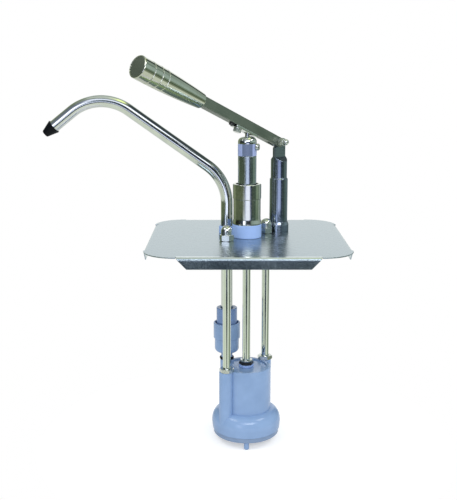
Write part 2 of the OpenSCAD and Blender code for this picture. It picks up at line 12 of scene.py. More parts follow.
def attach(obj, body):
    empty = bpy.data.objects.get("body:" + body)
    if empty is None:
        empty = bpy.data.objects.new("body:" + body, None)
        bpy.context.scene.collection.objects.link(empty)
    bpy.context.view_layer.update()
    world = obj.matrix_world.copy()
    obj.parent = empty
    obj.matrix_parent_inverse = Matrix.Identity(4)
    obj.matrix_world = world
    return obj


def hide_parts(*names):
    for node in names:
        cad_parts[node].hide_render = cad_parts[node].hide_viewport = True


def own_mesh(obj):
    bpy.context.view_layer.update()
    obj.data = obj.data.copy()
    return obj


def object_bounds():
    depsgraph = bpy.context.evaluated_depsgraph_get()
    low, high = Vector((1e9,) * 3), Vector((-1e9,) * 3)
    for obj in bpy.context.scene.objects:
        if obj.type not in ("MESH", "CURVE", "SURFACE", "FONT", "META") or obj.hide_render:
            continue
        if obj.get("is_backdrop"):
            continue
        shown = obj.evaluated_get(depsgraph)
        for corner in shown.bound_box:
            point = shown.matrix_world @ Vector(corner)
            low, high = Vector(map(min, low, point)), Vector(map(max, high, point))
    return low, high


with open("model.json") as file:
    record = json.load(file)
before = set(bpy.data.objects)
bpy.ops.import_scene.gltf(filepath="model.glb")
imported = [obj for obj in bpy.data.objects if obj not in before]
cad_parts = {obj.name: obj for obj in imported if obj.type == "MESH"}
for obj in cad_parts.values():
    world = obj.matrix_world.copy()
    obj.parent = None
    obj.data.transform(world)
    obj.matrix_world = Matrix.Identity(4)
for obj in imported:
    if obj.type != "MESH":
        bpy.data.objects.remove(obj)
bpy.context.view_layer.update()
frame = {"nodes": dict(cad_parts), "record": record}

# Sizes that several pieces share, in millimetres and degrees
LID_T = 1.5
DOUBLER_T = 2
# Rods and outlet stand this far from the middle in x and in y
PITCH = 30
LUGS = [(-PITCH, -PITCH), (PITCH, PITCH)]
OUTLET = (-PITCH, PITCH)
# How the two cap nuts on the lid are turned
NUT_TURNS = (-12, 20)
# Heights over the lid in the column: collar, bush, sleeve, bush's flange, cap, band and dome
COLLAR_H = 19.5
BUSH_LOW = 45
SLEEVE_H = 57.6
SPIGOT_H = 69.6
CAP_H = 79.6
BAND_LOW = 120.6
BAND_TOP = 138.2
# Distances of the post and the pivot from the middle, along the diagonal, and the pivot's height over the lid
POST_S = 70
PIVOT_S = 62.5
PIVOT_H = 137.7
# The lever: its slope, the square bar, the grip and the keeper plate
TILT = 22.6
BAR_W = 14.2
BAR_D = 14.1
BAR_LEN = 167.5
GRIP_LEN = 119.2
PLATE_T = 3.2
PLATE_FACE = -BAR_D / 2 - PLATE_T
KEEPER_BOLT_X = -85.1
KEEPER_SCREW_X = -99.4
BALL_R = 4.9
BALL_DROP = 1.6
# The spout: its low end, the height where it starts to bend, the two bends and the straight runs after them
TUBE_R = 9
TUBE_WALL = 1.2
TUBE_LOW = -160
TUBE_RISE = 47.5
TUBE_BEND = 70
FIRST_TURN = 54.682
SLOPE_LEN = 142
ARCH_TURN = math.degrees(math.asin(0.96))
TAIL_LEN = 35
# The pump, by depths under the lid's upper face
BODY_TOP = 202.2
BORE_TOP = 217.2
PLATE_JOINT = 302
# The return spring, from its seat in the sleeve to the height over the lid where the plunger holds it
SPRING_LOW = -10
SPRING_TOP = 114
STROKE = 34


def level(h):
    """Height of a point h above the lid's upper face."""
    return LID_T + h


def shift(x, y, z):
    """A place moved by x, y and z."""
    return Matrix.Translation((x, y, z))


def turn(degrees, axis):
    """A place turned about an axis."""
    return Matrix.Rotation(math.radians(degrees), 4, axis)


PIVOT_XY = PIVOT_S * math.cos(math.pi / 4)
LEVER = shift(PIVOT_XY, PIVOT_XY, level(PIVOT_H)) @ turn(45, "Z") @ turn(TILT, "Y")
GRIP = LEVER @ shift(-BAR_LEN - GRIP_LEN, 0, 0) @ turn(90, "Y")
PIVOT = LEVER @ turn(90, "X")
POST = turn(45, "Z") @ shift(POST_S, 0, 0)
AT_OUTLET = shift(OUTLET[0], OUTLET[1], 0)
BAND_SCREW = shift(0, 0, level(133.6)) @ turn(-20, "Z") @ turn(90, "Y")


def bend_end(degrees):
    """From the start of a tube bend to its end."""
    return shift(-TUBE_BEND, 0, 0) @ turn(-degrees, "Y") @ shift(TUBE_BEND, 0, 0)


TUBE_START = AT_OUTLET @ shift(0, 0, TUBE_RISE)
SLOPE_START = TUBE_START @ bend_end(FIRST_TURN)
ARCH_START = SLOPE_START @ shift(0, 0, SLOPE_LEN)
ARCH_END = ARCH_START @ bend_end(ARCH_TURN)
TUBE_END = ARCH_END @ shift(0, 0, TAIL_LEN)

# Materials. SMUDGE is the cycles a millimetre of the wide soft clouds that every finish has
SMUDGE = (0.03, 0.03, 0.03)


def linear(code):
    """Linear colour of an sRGB hex value."""
    values = [int(code[i:i + 2], 16) / 255 for i in (0, 2, 4)]
    return tuple([v / 12.92 if v <= 0.04045 else ((v + 0.055) / 1.055) ** 2.4 for v in values] + [1])


def add(tree, kind, inputs=None, **settings):
    """Adds a node. inputs maps a socket to a value or to another node's output socket."""
    node = tree.nodes.new("ShaderNode" + kind)
    for key, value in settings.items():
        setattr(node, key, value)
    for key, value in (inputs or {}).items():
        if isinstance(value, bpy.types.NodeSocket):
            tree.links.new(value, node.inputs[key])
        else:
            node.inputs[key].default_value = value
    return node


def start_finish(name, **sockets):
    """A new material with one shader, its uniform values set on the shader itself."""
    material = bpy.data.materials.new(name)
    material.use_nodes = True
    tree = material.node_tree
    tree.nodes.clear()
    shader = add(tree, "BsdfPrincipled")
    for key, value in sockets.items():
        shader.inputs[key.replace("_", " ")].default_value = value
    add(tree, "OutputMaterial", {"Surface": shader.outputs[0]})
    return material, tree, shader


def surface_noise(tree, per_mm, rotation=(0, 0, 0), detail=3.0):
    """Noise on Object coordinates, per_mm cycles a millimetre along each axis of the turned pattern."""
    where = add(tree, "TexCoord").outputs["Object"]
    turned = add(tree, "Mapping", {"Vector": where, "Rotation": rotation}).outputs[0]
    scaled = add(tree, "Mapping", {"Vector": turned, "Scale": [1000 * c for c in per_mm]}).outputs[0]
    return add(tree, "TexNoise", {"Vector": scaled, "Scale": 1.0, "Detail": detail, "Roughness": 0.55}).outputs[0]


def spread(tree, value, low, high):
    """Maps the middle of a noise to the range from low to high."""
    ends = {"From Min": 0.3, "From Max": 0.7, "To Min": low, "To Max": high}
    return add(tree, "MapRange", {"Value": value, **ends}).outputs[0]


def tint(tree, value, dark, light):
    """A colour between two hex colours, by a value from 0 to 1."""
    mixed = add(tree, "Mix", data_type="RGBA")
    mixed.inputs["A"].default_value = linear(dark)
    mixed.inputs["B"].default_value = linear(light)
    tree.links.new(value, mixed.inputs["Factor"])
    return mixed.outputs["Result"]


def relief(tree, shader, height, depth_mm):
    """Bump from a height between 0 and 1, depth_mm deep."""
    bump = add(tree, "Bump", {"Height": height, "Distance": depth_mm * 0.001, "Strength": 1.0})
    tree.links.new(bump.outputs[0], shader.inputs["Normal"])


def steel(name, dark, light, rough_low, rough_high, per_mm, rotation=(0, 0, 0), depth_mm=0.004):
    """Stainless steel with cut or drawn marks, closest along per_mm's largest axis, and faint wide smudges."""
    material, tree, shader = start_finish(name, Metallic=1.0)
    marks = surface_noise(tree, per_mm, rotation)
    cloud = surface_noise(tree, SMUDGE, detail=2.0)
    both = add(tree, "Math", {0: marks, 1: cloud}, operation="ADD").outputs[0]
    half = add(tree, "Math", {0: both, 1: 0.5}, operation="MULTIPLY").outputs[0]
    tree.links.new(tint(tree, spread(tree, half, 0, 1), dark, light), shader.inputs["Base Color"])
    tree.links.new(spread(tree, half, rough_low, rough_high), shader.inputs["Roughness"])
    relief(tree, shader, marks, depth_mm)
    return material


def plastic(name, dark, light, roughness, grain_mm, depth_mm, **sockets):
    """Moulded or machined plastic: a little uneven in colour, with a fine even grain."""
    material, tree, shader = start_finish(name, IOR=1.48, Roughness=roughness, **sockets)
    cloud = surface_noise(tree, SMUDGE, detail=2.0)
    tree.links.new(tint(tree, spread(tree, cloud, 0, 1), dark, light), shader.inputs["Base Color"])
    relief(tree, shader, surface_noise(tree, [1 / grain_mm] * 3), depth_mm)
    return material


def brushed_sheet():
    """Cold-rolled stainless sheet, brushed from left to right: the short scratches give the soft even sheen."""
    return steel("brushed_stainless_sheet", "98a6ae", "a4b2b9", 0.24, 0.29, (0.04, 1.6, 1.6), depth_mm=0.001)


def flange_sheet():
    """The same sheet on its bent flanges, unbrushed, so it shows the dark of the room more sharply."""
    return steel("unbrushed_stainless_flange", "909ea5", "acbac0", 0.14, 0.22, (0.25, 0.25, 0.25), depth_mm=0.003)


def burnished_bend():
    """The sheet on its front bend, given a far lighter colour as a painted highlight, so the front bend shows as a
    thin white line.
    """
    return steel("stainless_bend_painted_highlight", "dde3e6", "eaeff1", 0.12, 0.20, (0.25, 0.25, 0.25), depth_mm=0.002)


def turned_bar():
    """Stainless bar turned on a lathe: rings too fine to show, drawn 0.5 mm apart, blur the long highlights."""
    return steel("turned_stainless_bar", "bcbeb6", "d4d6cf", 0.10, 0.16, (0.05, 0.05, 2.0), depth_mm=0.001)


def rough_turned_bar():
    """The same bar turned with a coarser feed: its stripe is softer and dimmer."""
    return steel("coarse_turned_stainless_bar", "a6afb2", "bcc6ca", 0.13, 0.19, (0.05, 0.05, 1.6), depth_mm=0.0008)


def post_bar():
    """Darker turned bar of the post, pickled and hardly polished."""
    return steel("pickled_turned_stainless_bar", "808a9a", "98a2b2", 0.13, 0.20, (0.05, 0.05, 1.2), depth_mm=0.0008)


def polished_tube():
    """Polished stainless tube: near mirror, with faint lengthwise polishing."""
    return steel("polished_stainless_tube", "c6cac8", "dcdfdc", 0.09, 0.12, (0.1, 0.1, 0.02), depth_mm=0.0004)


def polished_rod():
    """Drawn and polished rod: near mirror, with faint marks along it."""
    return steel("polished_stainless_rod", "d6dcd4", "e6ece6", 0.07, 0.12, (0.9, 0.9, 0.02), depth_mm=0.0005)


def bright_nut():
    """Bright stainless nuts, forged and tumbled: small soft dents give them sparkle."""
    return steel("tumbled_stainless_nut", "bec2be", "d6d9d5", 0.14, 0.22, (0.3, 0.3, 0.3), depth_mm=0.008)


def lever_across():
    """Turns a pattern so that its Z runs along the lever."""
    return tuple((GRIP.to_3x3().inverted()).to_euler())


def polished_grip():
    """Turned and polished grip: rings across the grip, drawn 0.7 mm apart."""
    return steel("polished_stainless_grip", "b4b7aa", "cfd2c6", 0.06, 0.12, (0.04, 0.04, 1.4), lever_across(), 0.0008)


def ground_bar():
    """Flat bar ground lengthwise: dull and darker, with streaks along the bar."""
    return steel("ground_stainless_bar", "7b8279", "90978c", 0.32, 0.44, (0.9, 0.9, 0.03), lever_across(), 0.003)


def spring_wire():
    """Drawn spring wire, slightly dull."""
    return steel("drawn_spring_wire", "8d908d", "a2a5a2", 0.25, 0.35, (0.5, 0.5, 0.5))


def blue_acetal():
    """Machined blue-gray acetal: satin, with one soft highlight on each edge."""
    return plastic("machined_blue_acetal", "84a1c8", "8facd3", 0.17, 0.6, 0.001)


def deep_blue_acetal():
    """The same acetal where it is turned finer and looks darker."""
    return plastic("turned_deep_blue_acetal", "6f8ab8", "7c98c6", 0.2, 0.5, 0.001)


def gray_blue_acetal():
    """The grayer acetal of the intake plate, faced on a lathe."""
    return plastic("faced_gray_blue_acetal", "788fae", "869cba", 0.3, 0.5, 0.001)


def pale_acetal():
    """Light blue moulded acetal with an even matt face."""
    return plastic("moulded_pale_blue_acetal", "9dbcf2", "a7c5fa", 0.4, 0.5, 0.003)


def band_acetal():
    """Pale blue band with a darker gray-blue field in front, where y is less than -11.7 mm, polished."""
    material, tree, shader = start_finish("blue_band_darker_at_front", IOR=1.48, Roughness=0.2)
    grain = surface_noise(tree, [2.5] * 3)
    depth = add(tree, "SeparateXYZ", {0: add(tree, "TexCoord").outputs["Object"]}).outputs["Y"]
    field = add(tree, "MapRange", {"Value": depth, "From Min": -0.0119, "From Max": -0.0115}).outputs[0]
    pale = tint(tree, grain, "8f9fca", "a6b4dc")
    dark = tint(tree, grain, "5d6a86", "6c7a98")
    both = add(tree, "Mix", {"Factor": field}, data_type="RGBA")
    tree.links.new(dark, both.inputs["A"])
    tree.links.new(pale, both.inputs["B"])
    tree.links.new(both.outputs["Result"], shader.inputs["Base Color"])
    relief(tree, shader, grain, 0.002)
    return material


def white_bearing():
    """White bearing plastic, waxy."""
    return plastic("white_bearing_plastic", "d9dad4", "e4e4de", 0.4, 0.5, 0.003)


def black_rubber():
    """Moulded black rubber, dull with a slight bloom."""
    return plastic("moulded_black_rubber", "07080d", "0e1118", 0.4, 0.35, 0.006, Specular_IOR_Level=0.12)


def black_plastic():
    """Black plastic and blackened steel screws."""
    return plastic("blackened_screw", "1a1b1c", "26282a", 0.38, 0.4, 0.004)


FINISH = {
    "satin_sheet": brushed_sheet(),
    "flange": flange_sheet(),
    # The bend finish is a painted highlight on the lid's front bend
    "bend": burnished_bend(),
    "turned_steel": turned_bar(),
    "rough_turned": rough_turned_bar(),
    "post_steel": post_bar(),
    "polished_steel": polished_tube(),
    "rod_steel": polished_rod(),
    "grip_steel": polished_grip(),
    "bright_fasteners": bright_nut(),
    "bar_steel": ground_bar(),
    "spring_steel": spring_wire(),
    "blue_plastic": blue_acetal(),
    "deep_blue": deep_blue_acetal(),
    "pale_blue_plastic": pale_acetal(),
    "band": band_acetal(),
    "plate_plastic": gray_blue_acetal(),
    "white_plastic": white_bearing(),
    "black_rubber": black_rubber(),
    "black_plastic": black_plastic(),
}

# A CAD node that no piece below stands for shows the finish of its slot. The intake plate is grayer than its slot says
SLOT_OF = {part["node"]: part["material_slot"] for part in frame["record"]["subparts"]}
BODY_OF = {n: body for body, nodes in frame["record"]["behaviour"]["bodies"].items() for n in nodes}
for node_name, node_object in frame["nodes"].items():
    node_object.data.materials.clear()
    node_object.data.materials.append(FINISH[SLOT_OF[node_name]])
frame["nodes"]["intake_plate"].data.materials[0] = FINISH["plate_plastic"]


# Shape tools

def verts_in(geom):
    """The vertices among what an operator returned."""
    return [g for g in geom if isinstance(g, bmesh.types.BMVert)]


def edges_in(geom):
    """The edges among what an operator returned."""
    return [g for g in geom if isinstance(g, bmesh.types.BMEdge)]


def all_of(bm):
    """Every vertex, edge and face of a shape."""
    return bm.verts[:] + bm.edges[:] + bm.faces[:]


def round_corners(bm, verts, points, segments=0):
    """Rounds the vertices whose point has a third value, the radius."""
    for vert, point in zip(verts, points):
        if len(point) > 2:
            bmesh.ops.bevel(bm, geom=[vert], offset=point[2], segments=segments or 4 + int(point[2]), profile=0.5,
                            affect="VERTICES", material=-1)


def lathe(profile, closed=False, steps=96):
    """Turns (radius, height) points about Z. A third value rounds that corner."""
    bm = bmesh.new()
    verts = [bm.verts.new((point[0], 0, point[1])) for point in profile]
    for a, b in zip(verts, verts[1:] + verts[:1] * closed):
        bm.edges.new((a, b))
    round_corners(bm, verts, profile)
    bmesh.ops.spin(bm, geom=bm.verts[:] + bm.edges[:], cent=(0, 0, 0), axis=(0, 0, 1), angle=2 * math.pi,
                   steps=steps, use_merge=True)
    return tidy(bm)


def tidy(bm):
    """Merges what lies together and turns every face outwards."""
    bmesh.ops.remove_doubles(bm, verts=bm.verts[:], dist=0.001)
    bmesh.ops.recalc_face_normals(bm, faces=bm.faces[:])
    return bm


def ring(low, high, outer, inner, edge=0.3, steps=96):
    """A plain ring with eased edges."""
    return lathe([(inner, low), (outer, low, edge), (outer, high, edge), (inner, high, min(edge, 0.4))], True, steps)


def rod(low, high, radius, edge=0.4, steps=64):
    """A plain round bar with eased ends."""
    return lathe([(0, low), (radius, low, edge), (radius, high, edge), (0, high)], False, steps)


def ease(bm, width, sharper_than=30, segments=2):
    """Rounds every edge that is sharper than an angle."""
    edges = [e for e in bm.edges if e.is_manifold and e.calc_face_angle(0) > math.radians(sharper_than)]
    bmesh.ops.bevel(bm, geom=edges, offset=width, segments=segments, profile=0.5, affect="EDGES", material=-1)
    return bm


def put(bm, *places):
    """Moves a shape by the product of the places."""
    matrix = Matrix.Identity(4)
    for place in places:
        matrix = matrix @ place
    bmesh.ops.transform(bm, matrix=matrix, verts=bm.verts[:])
    return bm


def join(shapes):
    """One shape from several."""
    whole = bmesh.new()
    for shape in shapes:
        mesh = bpy.data.meshes.new("part")
        shape.to_mesh(mesh)
        shape.free()
        whole.from_mesh(mesh)
        bpy.data.meshes.remove(mesh)
    return whole


def hexagon(low, high, flats, bore=0.0, facing=0.0):
    """A hexagonal nut or head whose corners are turned round at both faces."""
    circle = flats / 2 * 0.96
    chamfer_slope = 0.58
    corner = flats / 2 / math.cos(math.pi / 6)
    bm = lathe([(bore, low), (circle, low), (corner, low + 1), (corner, high - 1), (circle, high), (bore, high)],
               bore > 0, 72)
    middle = (low + high) / 2
    for vert in bm.verts:
        if vert.co.xy.length > circle + 0.01:
            angle = math.atan2(vert.co.y, vert.co.x)
            off_flat = angle % (math.pi / 3) - math.pi / 6
            radius = flats / 2 / math.cos(off_flat)
            drop = (radius - circle) * chamfer_slope
            z = high - drop if vert.co.z > middle else low + drop
            vert.co = (radius * math.cos(angle), radius * math.sin(angle), z)
    bmesh.ops.recalc_face_normals(bm, faces=bm.faces[:])
    return put(bm, turn(facing, "Z"))


def cap_nut(low, flats, hex_h, dome_r, total_h, facing=0.0):
    """A domed nut: hexagon below, straight collar and dome above."""
    neck = low + total_h - dome_r
    dome = lathe([(0, low + 0.5), (dome_r, low + 0.5), (dome_r, neck), (dome_r, low + total_h, dome_r * 0.999),
                  (0, low + total_h)], False, 72)
    return join([hexagon(low, low + hex_h, flats, 0.0, facing), dome])


def outline_slab(outline, low, high):
    """A slab from (x, y) points, drawn in order. A third value rounds that corner."""
    bm = bmesh.new()
    verts = [bm.verts.new((point[0], point[1], low)) for point in outline]
    bm.faces.new(verts)
    round_corners(bm, verts, outline)
    lifted = bmesh.ops.extrude_face_region(bm, geom=bm.faces[:])["geom"]
    bmesh.ops.translate(bm, vec=(0, 0, high - low), verts=verts_in(lifted))
    return tidy(bm)


def piece(name, bm, slot, finish=None, stands_for=None, smooth_below=32):
    """Makes a finished object of a shape in millimetres and says which CAD node it stands for, if not its namesake."""
    bmesh.ops.scale(bm, vec=(0.001, 0.001, 0.001), verts=bm.verts[:])
    mesh = bpy.data.meshes.new(name)
    bm.to_mesh(mesh)
    bm.free()
    mesh.polygons.foreach_set("use_smooth", [True] * len(mesh.polygons))
    mesh.set_sharp_from_angle(angle=math.radians(smooth_below))
    mesh.materials.append(FINISH[finish or slot])
    made = bpy.data.objects.new(name, mesh)
    bpy.context.scene.collection.objects.link(made)
    made.modifiers.new("even_shading", "WEIGHTED_NORMAL").keep_sharp = True
    node = stands_for or name
    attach(made, BODY_OF[node])
    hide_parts(node)
    return made


def give_wall(made, thickness, edge=0.3):
    """Gives a sheet its thickness, inwards, and breaks its edges, before the shading is evened out."""
    made.modifiers.remove(made.modifiers["even_shading"])
    wall = made.modifiers.new("sheet_thickness", "SOLIDIFY")
    wall.thickness = thickness * 0.001
    wall.offset = -1
    broken = made.modifiers.new("broken_edge", "BEVEL")
    broken.width = edge * 0.001
    broken.segments = 2
    broken.angle_limit = math.radians(40)
    made.modifiers.new("even_shading", "WEIGHTED_NORMAL").keep_sharp = True


# The lid. Its material slots are the sheet, the flanges and the front bend, which carries a painted highlight

def lid_sheet():
    """Flat sheet with open round corners, and a flange bent down along each side.

    Each flange leans inwards a little, and its ends run in by bend_taper over the bend and by taper in all."""
    half, corner, bend, low = 145.0, 47.0, 4.5, LID_T - 16.5
    taper, bend_taper, lean, near = 11.4, 3, 0.6, 0.01
    run = half - corner
    bm = bmesh.new()
    bmesh.ops.create_grid(bm, x_segments=1, y_segments=1, size=half, matrix=shift(0, 0, LID_T))
    bmesh.ops.bevel(bm, geom=bm.verts[:], offset=corner, segments=20, profile=0.5, affect="VERTICES", material=-1)
    for axis in ((1, 0, 0), (0, 1, 0)):
        for place in (run, -run, half - bend, bend - half):
            bmesh.ops.bisect_plane(bm, geom=all_of(bm), plane_co=Vector(axis) * place, plane_no=axis)
    strips = [f for f in bm.faces if max(abs(c) for c in f.calc_center_median().xy) > half - bend
              and min(abs(c) for c in f.calc_center_median().xy) < run]
    bmesh.ops.delete(bm, geom=strips, context="FACES")
    for quarter in range(4):
        facing = turn(90 * quarter, "Z")
        back = facing.inverted()
        edges = [e for e in bm.edges if e.is_boundary
                 and all(abs((back @ v.co).y + half - bend) < near for v in e.verts)
                 and all(abs((back @ v.co).x) < run + near for v in e.verts)]
        verts = list({v for e in edges for v in e.verts})
        bent = bmesh.ops.spin(bm, geom=verts + edges, cent=facing @ Vector((0, -half + bend, LID_T - bend)),
                              axis=facing.to_3x3() @ Vector((1, 0, 0)), angle=math.pi / 2, steps=6)["geom_last"]
        lower = bmesh.ops.extrude_edge_only(bm, edges=edges_in(bent))["geom"]
        for vert in verts_in(lower):
            place = back @ vert.co
            if abs(place.x) > run - near:
                place.x -= math.copysign(taper, place.x)
            place.z = low
            place.y += lean
            vert.co = facing @ place
        for vert in {v for e in bm.edges for v in e.verts}:
            place = back @ vert.co
            if place.y < -half + bend - near and place.z < LID_T - near and abs(place.x) > run - taper - 0.1:
                place.x -= math.copysign(bend_taper * min(1, (LID_T - place.z) / bend), place.x)
                vert.co = facing @ place
    tidy(bm)
    if sum(f.normal.z * f.calc_area() for f in bm.faces) < 0:
        bmesh.ops.reverse_faces(bm, faces=bm.faces[:])
    # The faces of the bend that face the front get the finish with the painted highlight
    for face in bm.faces:
        on_front_bend = 0.65 < face.normal.z < 0.995 and face.normal.y < -0.1
        face.material_index = 2 if on_front_bend else int(face.normal.z < 0.2)
    return bm


lid = piece("lid_sheet", lid_sheet(), "satin_sheet", stands_for="lid")
# The bend finish is a painted highlight on the lid's front bend
for further in ("flange", "bend"):
    lid.data.materials.append(FINISH[further])
give_wall(lid, LID_T)
piece("doubler_disc", ring(-DOUBLER_T, 0, 86, 16.2, 0.4, 128), "satin_sheet", stands_for="lid")

# The column over the pump

piece("column_collar", ring(level(0), level(COLLAR_H), 21.7, 16.1, 0.9), "pale_blue_plastic")
piece("guide_sleeve", lathe([
    (6.4, -14), (16, -14, 0.4), (16, level(COLLAR_H)), (21.2, level(COLLAR_H), 0.4), (21.2, level(21.6), 0.5),
    (20.3, level(27), 1.5), (20.3, level(SLEEVE_H - 0.2), 0.4), (18.4, level(SLEEVE_H)), (18.4, level(SPIGOT_H), 0.4),
    (16.1, level(SPIGOT_H)), (16.1, level(BUSH_LOW)), (14.3, level(BUSH_LOW)), (14.3, SPRING_LOW),
    (6.4, SPRING_LOW)], True), "turned_steel")
piece("guide_bush", ring(level(BUSH_LOW), level(SPIGOT_H + 4), 16, 13.76, 0.4), "white_plastic")
piece("sleeve_cap", lathe([
    (18.5, level(SLEEVE_H + 0.2)), (21, level(SLEEVE_H + 0.2), 0.35), (21, level(CAP_H), 1.1),
    (16.6, level(CAP_H), 0.5), (16.6, level(SPIGOT_H + 4.2)), (18.5, level(SPIGOT_H + 4.2))], True), "turned_steel")
piece("column_nut", hexagon(-DOUBLER_T - 8, -DOUBLER_T, 42, 16.1, 30), "bright_fasteners")

# The plunger

piece("plunger_head", lathe([
    (11, level(STROKE + 6)), (13.7, level(STROKE + 6), 0.4), (13.7, level(BAND_LOW - 0.2), 0.6), (13, level(BAND_LOW)),
    (13, level(BAND_TOP)), (5.1, level(BAND_TOP)), (5.1, level(130)), (6.1, level(130)), (6.1, level(SPRING_TOP)),
    (11, level(SPRING_TOP))], True), "turned_steel", "rough_turned")
piece("plunger_band", lathe([
    (13.06, level(BAND_LOW + 0.05)), (13.8, level(BAND_LOW + 0.05), 0.3), (13.9, level(BAND_LOW + 1), 0.2),
    (13.9, level(BAND_TOP - 1), 0.2), (13.8, level(BAND_TOP - 0.1), 0.3), (13.06, level(BAND_TOP - 0.1))], True),
    "blue_plastic", "band")
piece("plunger_dome", lathe([
    (0, level(130.3)), (5, level(130.3)), (5, level(BAND_TOP + 0.05)), (13.8, level(BAND_TOP + 0.05), 0.25),
    (13.9, level(148.6), 7.9), (0, level(148.6))]), "polished_steel")
piece("band_screw", put(join([
    rod(8, 14, 2), lathe([(0, 13.9), (5, 13.9, 0.3), (5, 18.1, 1.1), (2.1, 18.1, 0.3), (1.9, 15.9), (0, 15.9)])]),
    BAND_SCREW), "bright_fasteners")
BALL_Z = level(PIVOT_H) + PIVOT_S * math.tan(math.radians(TILT)) - BALL_DROP / math.cos(math.radians(TILT))
stud_ball = bmesh.new()
bmesh.ops.create_uvsphere(stud_ball, u_segments=48, v_segments=32, radius=BALL_R, matrix=shift(0, 0, BALL_Z))
piece("link_stud", join([
    lathe([(0, level(134.4)), (3.4, level(134.4)), (3.4, BALL_Z - 2), (0, BALL_Z - 1)], False, 48), stud_ball]),
    "polished_steel")
piece("piston_rod", lathe([
    (0, level(-BORE_TOP - 28)), (4, level(-BORE_TOP - 28), 0.5), (4, level(-BORE_TOP - 3)),
    (6, level(-BORE_TOP - 2.9), 0.3), (6, level(129.8), 0.4), (0, level(129.8))]), "polished_steel", "rod_steel")


def return_spring():
    """Round wire wound on a helix, from its seat in the sleeve to the end of the plunger's bore."""
    curls, coil_r, wire_r, per_curl = 13, 8.9, 0.8, 32
    rise = (level(SPRING_TOP) - SPRING_LOW - 2 * wire_r) / (curls * per_curl)
    bm = bmesh.new()
    bmesh.ops.create_circle(bm, cap_ends=True, segments=12, radius=wire_r,
                            matrix=shift(coil_r, 0, SPRING_LOW + wire_r) @ turn(90, "X"))
    last = bmesh.ops.spin(bm, geom=bm.verts[:] + bm.edges[:], cent=(0, 0, 0), axis=(0, 0, 1), dvec=(0, 0, rise),
                          angle=2 * math.pi * curls, steps=curls * per_curl)["geom_last"]
    bmesh.ops.edgeloop_fill(bm, edges=edges_in(last))
    return tidy(bm)


spring = piece("return_spring", return_spring(), "spring_steel", smooth_below=60)
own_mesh(spring)

# The fulcrum post

piece("post_collar", put(lathe([
    (10.1, level(0)), (16, level(0), 0.4), (16, level(10.5), 0.8), (14.4, level(15), 0.4), (10.1, level(15))], True),
    POST), "turned_steel", "post_steel")


def fulcrum_post():
    """Stepped round post, cut away above a ledge to a flat tongue with a round ear for the pivot."""
    ledge, flat_half, half = level(114), 3, 11.15
    round_part = lathe([
        (0, -15), (8, -15, 0.5), (8, level(0)), (10, level(0)), (10, level(15)), (13.9, level(15), 0.3),
        (13.9, level(80.6), 0.5), (12.5, level(82), 0.5), (12.5, ledge, 0.2), (0, ledge)])
    for side in (1, -1):
        across = Vector((0, side * 6.5, 9.5))
        start = Vector((0, side * flat_half, ledge))
        bmesh.ops.bisect_plane(round_part, geom=all_of(round_part), plane_co=start, plane_no=across, clear_outer=True)
        bmesh.ops.holes_fill(round_part, edges=[e for e in round_part.edges if e.is_boundary])
        rim = [e for e in round_part.edges if e.calc_face_angle(0) > 0.5 and abs(e.verts[0].co.y) > flat_half + 0.5
               and all(abs((v.co - start).dot(across.normalized())) < 0.01 for v in e.verts)]
        bmesh.ops.bevel(round_part, geom=rim, offset=0.6, segments=3, profile=0.5, affect="EDGES", material=-1)
    tongue = outline_slab([
        (-half, level(112)), (half, level(112)), (half, level(139.5), 3), (-half + 3, level(139.5), 2.5),
        (-half + 3, level(129), 1.5), (-half, level(129), 0.8)], -flat_half, flat_half)
    ear = lathe([(3.1, -flat_half), (6.8, -flat_half, 0.3), (6.8, flat_half, 0.3), (3.1, flat_half)], True, 64)
    ear = put(ear, shift(PIVOT_S - POST_S, level(PIVOT_H), 0))
    flat = put(join([ease(tongue, 0.35, 40), ear]), turn(90, "X"))
    return put(join([round_part, flat]), POST)


piece("fulcrum_post", fulcrum_post(), "turned_steel", "post_steel")
piece("post_nut", put(hexagon(-DOUBLER_T - 10, -DOUBLER_T, 24, 8.1, 30), POST), "bright_fasteners")


# The lever

def lever_bar():
    """Square bar with broken edges; its end is forked round the tongue and rounded."""
    end, slot_start, slot_half, tip_r = 9.0, -18.5, 3.3, 4.9
    far_end = -BAR_LEN - 34
    bm = bmesh.new()
    bmesh.ops.create_cube(bm, size=1)
    bmesh.ops.scale(bm, vec=(slot_start - far_end, BAR_W, BAR_D), verts=bm.verts[:])
    bmesh.ops.translate(bm, vec=((slot_start + far_end) / 2, 0, 0), verts=bm.verts[:])
    for y in (-slot_half, slot_half):
        bmesh.ops.bisect_plane(bm, geom=all_of(bm), plane_co=(0, y, 0), plane_no=(0, 1, 0))
    cheeks = [f for f in bm.faces if f.normal.x > 0.9 and abs(f.calc_center_median().y) > slot_half]
    for cheek in cheeks:
        grown = bmesh.ops.extrude_discrete_faces(bm, faces=[cheek])["faces"]
        bmesh.ops.translate(bm, vec=(end - slot_start, 0, 0), verts=list({v for f in grown for v in f.verts}))
    tidy(bm)
    tips = [e for e in bm.edges if all(v.co.x > end - 0.1 for v in e.verts)
            and abs(e.verts[0].co.z - e.verts[1].co.z) < 0.1]
    bmesh.ops.bevel(bm, geom=tips, offset=tip_r, segments=8, profile=0.5, affect="EDGES", material=-1)
    ease(bm, 0.7, 50, 3)
    return put(bm, LEVER)


piece("lever_bar", lever_bar(), "bar_steel")


